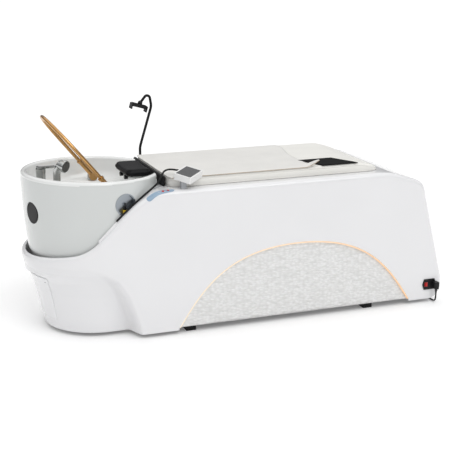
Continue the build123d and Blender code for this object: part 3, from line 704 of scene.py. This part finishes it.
def add_far_half(shape):
    """Mirror the near half, join the two and turn the faces outwards."""
    joined = 0.05 * MM
    bmesh.ops.remove_doubles(shape, verts=shape.verts, dist=joined)
    copy = bmesh.ops.duplicate(shape, geom=shape.verts[:] + shape.edges[:] + shape.faces[:])
    twins = [v for v in copy["geom"] if isinstance(v, bmesh.types.BMVert)]
    for vertex in twins:
        vertex.co.y = -vertex.co.y
    flipped = [f for f in copy["geom"] if isinstance(f, bmesh.types.BMFace)]
    bmesh.ops.reverse_faces(shape, faces=flipped)
    bmesh.ops.remove_doubles(shape, verts=shape.verts, dist=joined)
    bmesh.ops.recalc_face_normals(shape, faces=shape.faces)
    side = max(shape.faces, key=lambda f: -f.calc_center_median().y)
    if side.normal.y > 0:
        bmesh.ops.reverse_faces(shape, faces=shape.faces)


def body_skin(made):
    """The glass-fibre body, thickened inwards."""
    shape = bmesh.new()
    near_half(shape)
    add_far_half(shape)
    body = link("body_skin", close_shape(shape, "body_skin"), made["gelcoat"])
    thicken(body, WALL, offset=-1)
    settle(body)
    body.data.shade_smooth()
    body.data.set_sharp_from_angle(angle=math.radians(40))
    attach(body, "bed")
    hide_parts("body_shell")


def access_panel(made):
    """Curved service panel in the nose, standing a little proud of the skin."""
    low, high = span("nose_access_panel")
    wide = 61
    rings = []
    for z in np.linspace(low.z, high.z, 24):
        radius = HALF - undercut(-900, z) + 1.4
        row = []
        for k in range(33):
            angle = math.radians(180 - wide / 2 + wide * k / 32)
            row.append((AXIS + radius * math.cos(angle), radius * math.sin(angle), z))
        rings.append(row)
    panel = loft("access_panel", rings, made["gelcoat"], closed=False, caps=False)
    thicken(panel, 4)
    soft = panel.modifiers.new("edge", "BEVEL")
    soft.width = 0.001
    soft.segments = 2
    settle(panel)
    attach(panel, "bed")
    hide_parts("nose_access_panel")


def arch_panels(made):
    """Embossed infill panels behind the arched openings, and the light strips round them."""
    for side, name in ((-1, "near"), (1, "far")):
        low, high = span(f"arch_panel_{name}")
        face = low.y if side < 0 else high.y
        line = arch_line(13)
        xs = [p[0] for p in line]
        zs = [p[1] for p in line]
        rings = []
        for x in np.linspace(xs[0] + 1, xs[-1] - 1, 120):
            top = float(np.interp(x, xs, zs))
            rings.append([(float(x), face, ARCH_BASE + (top - ARCH_BASE) * k / 20)
                          for k in range(21)])
        panel = loft(f"infill_{name}", rings, made["arch_panel"], closed=False, caps=False)
        thicken(panel, 4)
        settle(panel)
        panel.location.y = -side * 0.002
        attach(panel, "bed")
        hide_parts(f"arch_panel_{name}")
        points = [(x, side * (HALF - STRIP), z) for x, z in arch_line(-STRIP, steps=5)]
        strip = tube(f"glow_strip_{name}", points, STRIP, made["light_strip"], sides=3)
        settled = settle_curve(strip)
        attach(settled, "bed")
        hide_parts("light_strips")


def settle_curve(piece):
    """Turn a curve into a mesh piece of the same name."""
    mesh = shown_mesh(piece)
    name = piece.name
    bpy.data.objects.remove(piece)
    mesh.shade_smooth()
    return link(name, mesh)


# ---- basin -----------------------------------------------
RIM_SLOPE = 0.024                         # the rim falls towards the neck by this share
RIM_PUSH = 13                             # and stands this much further out at the nose


def basin_profile():
    """Closed section of the basin wall as (radius, height) points with rounded corners."""
    outside = rounded_line([(272, 342), (280, 342), (288, 362), (296, 480), (RIM, 660),
                            (RIM - 2, RIM_TOP), (RIM - 27, RIM_TOP), (262, 602), (246, 592),
                            (186, 592), (180, 575), (160, 462), (136, 440), (36, 434)],
                           [1, 30, 200, 400, 13, 13, 60, 14, 7, 14, 40, 40], step=12)
    inside = [(36, 426), (146, 432), (168, 452), (190, 576), (196, 584), (257, 584), (269, 600),
              (276, 674), (288, 674), (288, 480), (280, 364)]
    return [(p.x, p.y) for p in outside] + inside


def bore_basin(tub, node, radius):
    """Cut a round radial hole through the basin's outer skin where a fitting sits."""
    low, high = span(node)
    middle = (low + high) / 2
    outward_way = Vector((middle.x - AXIS, middle.y, 0)).normalized()
    shape = bmesh.new()
    turn = outward_way.to_track_quat("Z", "Y").to_matrix().to_4x4()
    centre = Vector((AXIS, 0, middle.z)) + outward_way * (RIM - 4)
    place = Matrix.Translation(centre * MM) @ turn
    bmesh.ops.create_cone(shape, cap_ends=True, segments=72, radius1=radius * MM,
                          radius2=radius * MM, depth=0.03, matrix=place)
    cutter = link("cutter", close_shape(shape, "cutter"))
    cut = tub.modifiers.new("hole", "BOOLEAN")
    cut.operation = "DIFFERENCE"
    cut.object = cutter
    cut.solver = "EXACT"
    settle(tub)
    bpy.data.objects.remove(cutter)


def turned_basin():
    """Basin turned round its axis, cut flat at the neck, with a rim that leans to the nose."""
    section = basin_profile()
    turns = 200
    rings = []
    for k in range(turns):
        angle = math.tau * k / turns
        rings.append([(AXIS + r * math.cos(angle), r * math.sin(angle), z) for r, z in section])
    points = [p for row in rings for p in row]
    shape = bmesh.new()
    vertices = [shape.verts.new(Vector(p) * MM) for p in points]
    for face in bridge(rings + [rings[0]]):
        shape.faces.new([vertices[i % len(points)] for i in face])
    bmesh.ops.recalc_face_normals(shape, faces=shape.faces)
    cut = bmesh.ops.bisect_plane(shape, geom=shape.verts[:] + shape.edges[:] + shape.faces[:],
                                 plane_co=(NECK * MM, 0, 0), plane_no=(1, 0, 0), clear_outer=True)
    edges = [e for e in cut["geom_cut"] if isinstance(e, bmesh.types.BMEdge)]
    bmesh.ops.triangle_fill(shape, edges=edges, use_beauty=True, normal=(1, 0, 0))
    for vertex in shape.verts:
        lift = ease((vertex.co.z / MM - 600) / 60)
        vertex.co.z -= lift * RIM_SLOPE * (vertex.co.x - (BASIN_LOW.x + 260) * MM)
        out = ease((AXIS - vertex.co.x / MM) / RIM) * ease((vertex.co.z / MM - 350) / 300)
        vertex.co.x -= RIM_PUSH * MM * out
    return close_shape(shape, "rinse_basin")


def basin_piece(made):
    """Basin with the holes for its fittings; its outer skin gets a greyer copy of the inside's white,
    painted shade for the darker reflections there.
    """
    tub = link("rinse_basin", turned_basin(), made["basin_gloss"])
    for node, radius in (("port_cup", 44.4), ("basin_cap", 46.9)):
        bore_basin(tub, node, radius)
    tub.data.shade_smooth()
    tub.data.set_sharp_from_angle(angle=math.radians(50))
    tub.data.materials.append(made["basin_inside"])
    # Outer-skin faces keep the grey basin_gloss, which is painted shade; the inside and the rim's top get
    # the white basin_inside.
    for face in tub.data.polygons:
        spot = face.center / MM
        reach = math.hypot(spot.x - AXIS, spot.y)
        face.material_index = 1 if reach < RIM - 8 or spot.z > RIM_TOP - 12 else 0
    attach(tub, "bed")
    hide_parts("basin", "basin_bowl")


def sill_piece(made):
    """Flat wall at the neck side of the basin, with a round notch for the neck."""
    half = math.sqrt((RIM - 4) ** 2 - (NECK - 10 - AXIS) ** 2)
    foot, top = 586, 662
    notch = 110
    outline = [(-half, foot), (-half, top)]
    for k in range(25):
        angle = math.radians(-145 + 110 * k / 24)
        outline.append((notch * math.cos(angle), 725 + notch * math.sin(angle)))
    outline += [(half, top), (half, foot)]
    rings = [[(x, y, z) for y, z in outline] for x in (NECK - 10, NECK - 0.5)]
    # The sill is given the basin's grey outer material, so it carries the same painted shade.
    sill = loft("neck_sill", rings, made["basin_gloss"])
    soft = sill.modifiers.new("edge", "BEVEL")
    soft.width = 0.0025
    soft.segments = 3
    soft.limit_method = "ANGLE"
    settle(sill)
    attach(sill, "bed")
    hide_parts("neck_sill")


# ---- upholstery ------------------------------------------
PAD_TOP_LINE = rounded_line([(-500, 678), (540, 678), (622, 654), (660, 600)], [160, 40])


def pad_top(x):
    """Height of the mattress's flat top at x, with its fall at the foot."""
    return float(np.interp(x, [p.x for p in PAD_TOP_LINE], [p.y for p in PAD_TOP_LINE]))


def mattress_piece(made):
    """Upholstered pad: bulging sides, piped edges, a rounded foot and a softly creased top."""
    x0, x1 = PAD_LOW.x, PAD_HIGH.x
    y0, y1 = PAD_LOW.y, PAD_HIGH.y
    bottom = PAD_LOW.z
    pull = 5                              # the sides pull in by this at the seams
    crown = 9                             # rounding from the side to the top
    rings = []

    def ring_at(inset, height):
        loop = round_rectangle(x0 + inset, x1 - inset, y0 + inset, y1 - inset, 66 - inset,
                               per_side=60, per_end=24, per_corner=10)
        return [(x, y, height(x, y)) for x, y in loop]

    for k in range(9):
        t = k / 8
        bulge = 3 * math.sin(math.pi * t)
        rings.append(ring_at(pull - bulge,
                             lambda x, y, t=t: bottom + (pad_top(x) - crown - bottom) * t))
    for sine, cosine in quarter(6):
        inset = pull + crown * (1 - cosine)
        rings.append(ring_at(inset, lambda x, y, s=sine: pad_top(x) - crown + crown * s))
    for inset in (20, 30, 45, 65, 90, 120, 155, 190, 225, 250, 261):
        rings.append(ring_at(inset, top_with_folds))
    pad = loft("upholstered_pad", rings, made["cream_vinyl"], smooth=60)
    pipe_points = ring_at(4.5, lambda x, y: pad_top(x) - crown)
    pipe = closed_tube("pad_piping", pipe_points, 2.4, made["cream_vinyl"])
    lower = closed_tube("pad_lower_piping", ring_at(4.5, lambda x, y: bottom + 3.2), 2.4,
                        made["cream_vinyl"])
    for piece in (pad, pipe, lower):
        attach(piece, "bed")
    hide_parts("mattress", "mattress_board", "headrest_guides")


def top_with_folds(x, y):
    """Top of the pad: flat under the sheet, faintly creased towards the foot."""
    edge = min(1.0, (PAD_HIGH.y - abs(y)) / 40)
    fold = ease((x - 290) / 80) * ease((620 - x) / 60) * edge
    wave = noise.noise(Vector((x * 0.006, y * 0.016, 3))) + 0.4 * math.sin(x * 0.02 + y * 0.05)
    return pad_top(x) + 1.6 * fold * wave - 0.4 * (1 - edge)


def closed_tube(name, points, radius, material):
    """Round piping along a closed loop."""
    curve = bpy.data.curves.new(name, "CURVE")
    curve.dimensions = "3D"
    curve.bevel_depth = radius * MM
    curve.bevel_resolution = 3
    spline = curve.splines.new("POLY")
    spline.points.add(len(points) - 1)
    for target, point in zip(spline.points, points):
        target.co = (*(Vector(point) * MM), 1)
    spline.use_cyclic_u = True
    piece = link(name, curve, material)
    return settle_curve(piece)


def sheet_piece(made):
    """Thin cover sheet on the pad: skewed foot edge, curled near foot corner, soft waves."""
    columns, rows = 96, 64
    half = 261
    grid = []
    for i in range(columns + 1):
        u = i / columns
        line = []
        for j in range(rows + 1):
            v = j / rows
            y = -half + 2 * half * v
            corner = ease((0.12 - v) / 0.12)
            tip = ease((u - 0.93) / 0.07)
            far_peak = 40 * ease((v - 0.45) / 0.45) - 6 * ease((v - 0.9) / 0.1)
            end = 298 + far_peak + 26 * corner
            head = PAD_LOW.x + 3 + 30 * max(0, abs(v - 0.5) * 2 - 0.86) ** 1.5 * 8
            x = head + (end - head) * u
            rest = pad_top(x) + 2.2
            margin = half + 1 - abs(y)
            edge = min(1.0, margin / 30)
            wave = noise.noise(Vector((x * 0.008, y * 0.01, 1))) * 1.2
            ripple = 0.8 * math.sin(y * 0.03 + x * 0.006) * ease((x + 100) / 300)
            lift = max(0, wave + ripple) * edge
            curl = 30 * tip * corner
            tuck = 3.0 * ease((8 - margin) / 8)
            wing = 10 * ease((0.1 - v) / 0.1) * tip
            line.append(Vector((x, y - wing, rest + lift + curl - tuck)))
        grid.append(line)
    sheet = loft("cover_cloth", grid, made["sheet_fabric"], smooth=60, closed=False, caps=False)
    thicken(sheet, 1.4)
    settle(sheet)
    sheet.data.shade_smooth()
    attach(sheet, "bed")
    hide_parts("cover_sheet")
    hem = [line[0] + Vector((0, 0, 0.4)) for line in grid]
    edge = tube("sheet_edge", hem[::4] + [hem[-1]], 1.1, hem_material(), sides=2)
    edge = settle_curve(edge)
    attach(edge, "bed")


def hem_material():
    """Brown line along the sheet's near edge."""
    return surface("brown_edge_line", (0.42, 0.31, 0.21), 0.8, variation=0.15, scale=60, bump=0.3,
                   bump_scale=900)


def mat_piece(made):
    """Black mat near the pad's foot end, cut on the skew."""
    low, high = span("foot_mat")
    near = [Vector((low.x + 45, low.y)), Vector((high.x, low.y))]
    far = [Vector((low.x - 13, high.y)), Vector((high.x - 66, high.y))]
    grid = []
    for i in range(49):
        line = []
        for j in range(33):
            spot = near[0].lerp(near[1], i / 48).lerp(far[0].lerp(far[1], i / 48), j / 32)
            edge = min(i, 48 - i, j, 32 - j)
            wave = 0.9 * noise.noise(Vector((spot.x * 0.015, spot.y * 0.015, 7)))
            droop = 1.2 * max(0, 2 - edge) / 2
            line.append(Vector((spot.x, spot.y, pad_top(spot.x) + 3.2 + wave - droop)))
        grid.append(line)
    mat = loft("foot_cover", grid, made["black_mat"], smooth=60, closed=False, caps=False)
    thicken(mat, 2.4)
    settle(mat)
    mat.data.shade_smooth()
    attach(mat, "bed")
    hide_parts("foot_mat")


def pillow_piece(made):
    """Neck pillow: crowned top, pulled-in sides and ridges across its front."""
    low, high = span("headrest_pillow")
    rings = []
    for k in range(15):
        t = k / 14
        swell = 5 * math.sin(math.pi * t) - 5
        loop = round_rectangle(low.x - swell, high.x + swell, low.y - swell, high.y + swell, 22,
                               per_side=10, per_end=30)
        rings.append([(x, y, low.z + (high.z - 9 - low.z) * t) for x, y in loop])
    for sine, cosine in quarter(7):
        inset = 5 + 16 * (1 - cosine)
        loop = round_rectangle(low.x + inset, high.x - inset, low.y + inset, high.y - inset,
                               26 - inset, per_side=10, per_end=30)
        rings.append([(x, y, high.z - 9 + 8 * sine) for x, y in loop])
    pillow = loft("neck_pillow", rings, made["black_vinyl"], smooth=60)
    for vertex in pillow.data.vertices:
        x, y, z = vertex.co / MM
        front = ease((low.x + 30 - x) / 24)
        vertex.co.x -= 0.9 * MM * front * math.cos(y * math.tau / 15)
        dip = math.cos(min(1.0, abs(y) / 97) * math.pi / 2)
        vertex.co.z -= 5 * MM * dip * ease((z - low.z - 12) / 14)
    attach(pillow, "headrest")
    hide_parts("headrest_pillow")


def seal_piece(made):
    """Rubber bumper across the head edge of the pad."""
    low, high = span("neck_seal")
    rings = []
    middle = (low.x + high.x) / 2
    for y in np.linspace(low.y + 3, high.y - 3, 61):
        end = min(1.0, (high.y - 3 - abs(y)) / 10 + 0.25)
        section = []
        for x, z in round_rectangle(low.x, high.x, low.z, high.z, 6, per_side=4, per_end=4,
                                    per_corner=5):
            section.append((middle + (x - middle) * end, float(y), z))
        rings.append(section)
    seal = loft("neck_bumper", rings, made["black_rubber"], smooth=60)
    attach(seal, "bed")
    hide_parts("neck_seal")


def shoulder_point(x, y, lift):
    """Point on the body's top near its rounded near edge, raised off the skin by lift."""
    top = deck_height(x)
    slope = math.atan2(deck_height(x + 5) - deck_height(x - 5), 10)
    along = Vector((math.cos(slope), 0, math.sin(slope)))
    over = max(0.0, -HALF + EDGE - y)
    angle = min(math.pi / 2, over / EDGE)
    normal = Vector((-math.sin(slope), 0, math.cos(slope))) * math.cos(angle)
    normal.y = -math.sin(angle)
    if over:
        centre = Vector((x, -HALF + EDGE, top)) - Vector((-along.z, 0, along.x)) * EDGE
        return centre + normal * (EDGE + lift)
    return Vector((x, y, top)) + normal * lift


def shoulder_patch(name, middle, heading, length, width, lift, material, base=0.2):
    """Rounded strip on the shoulder, heading degrees from the unit's length.

    It starts base above the skin and rises to lift.
    """
    turn = math.radians(heading)
    rings = []
    for factor, height in ((1.0, base), (1.0, lift * 0.7), (0.97, lift), (0.6, lift + 0.1),
                           (0.2, lift + 0.15)):
        row = []
        for px, py in round_rectangle(-length / 2, length / 2, -width / 2 * factor,
                                      width / 2 * factor, width / 2 * factor, per_side=24,
                                      per_end=2):
            px *= 1 - (1 - factor) * width / length
            x = middle[0] + px * math.cos(turn) - py * math.sin(turn)
            y = middle[1] + px * math.sin(turn) + py * math.cos(turn)
            row.append(shoulder_point(x, y, height))
        rings.append(row)
    return loft(name, rings, material, smooth=40)


def keypad_pieces(made):
    """Membrane keypad wrapped over the shoulder, and its two keys standing out of it."""
    middle, heading = (-421, -306), 9
    strip = shoulder_patch("keypad", middle, heading, 128, 24, 1.6, made["keypad_film"])
    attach(strip, "bed")
    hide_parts("keypad_strip")
    for index, along in ((1, 12), (2, 36)):
        spot = (middle[0] + along, middle[1] + along * 0.16)
        key = shoulder_patch(f"key_{index}_cap", spot, heading, 10.5, 10, 3.2,
                             made["red_plastic"], base=1.0)
        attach(key, f"key_{index}")
        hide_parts(f"keypad_key_{index}")


# ---- stage -----------------------------------------------
def studio_world():
    """Soft studio surroundings: bright overhead, darker towards the horizon."""
    world = bpy.data.worlds.new("studio")
    world.use_nodes = True
    place = add_node(world, "TexCoord").outputs["Generated"]
    height = add_node(world, "SeparateXYZ", vector=place).outputs["Z"]
    sky = add_ramp(world, height, (0.05, (0.16, 0.16, 0.17)), (0.75, (1.0, 1.0, 1.0)))
    backdrop = world.node_tree.nodes["Background"]
    world.node_tree.links.new(sky, backdrop.inputs["Color"])
    backdrop.inputs["Strength"].default_value = 0.85
    bpy.context.scene.world = world


def add_stage():
    """Pale floor, the studio surroundings and three soft suns."""
    material = surface("pale_floor", (0.90, 0.90, 0.90), 0.9, variation=0.0)
    glow = material.node_tree.nodes["Principled BSDF"]
    glow.inputs["Emission Color"].default_value = (1, 1, 1, 1)
    glow.inputs["Emission Strength"].default_value = 0.14
    reach = 90000
    floor = make_mesh("floor", [(-reach, -reach, -0.5), (reach, -reach, -0.5),
                                (reach, reach, -0.5), (-reach, reach, -0.5)], [(0, 1, 2, 3)],
                      material, 0)
    studio_world()
    suns = [("key", (0.25, -1.0, 1.15), 0.85, 40), ("fill", (-0.9, -0.8, 0.75), 0.12, 70),
            ("top", (0.0, 0.3, 1.0), 0.45, 90)]
    for name, source, power, softness in suns:
        data = bpy.data.lights.new(name, "SUN")
        data.energy = power
        data.angle = math.radians(softness)
        lamp = link(name, data)
        lamp.rotation_euler = Vector(source).to_track_quat("Z", "Y").to_euler()
    bpy.context.scene.view_settings.view_transform = "Standard"


def main():
    """Build every visible piece round the frame."""
    add_camera()
    made = make_materials()
    add_cords(made)
    dress_frame(made)
    body_skin(made)
    access_panel(made)
    arch_panels(made)
    basin_piece(made)
    sill_piece(made)
    mattress_piece(made)
    sheet_piece(made)
    mat_piece(made)
    pillow_piece(made)
    seal_piece(made)
    keypad_pieces(made)
    add_stage()


main()
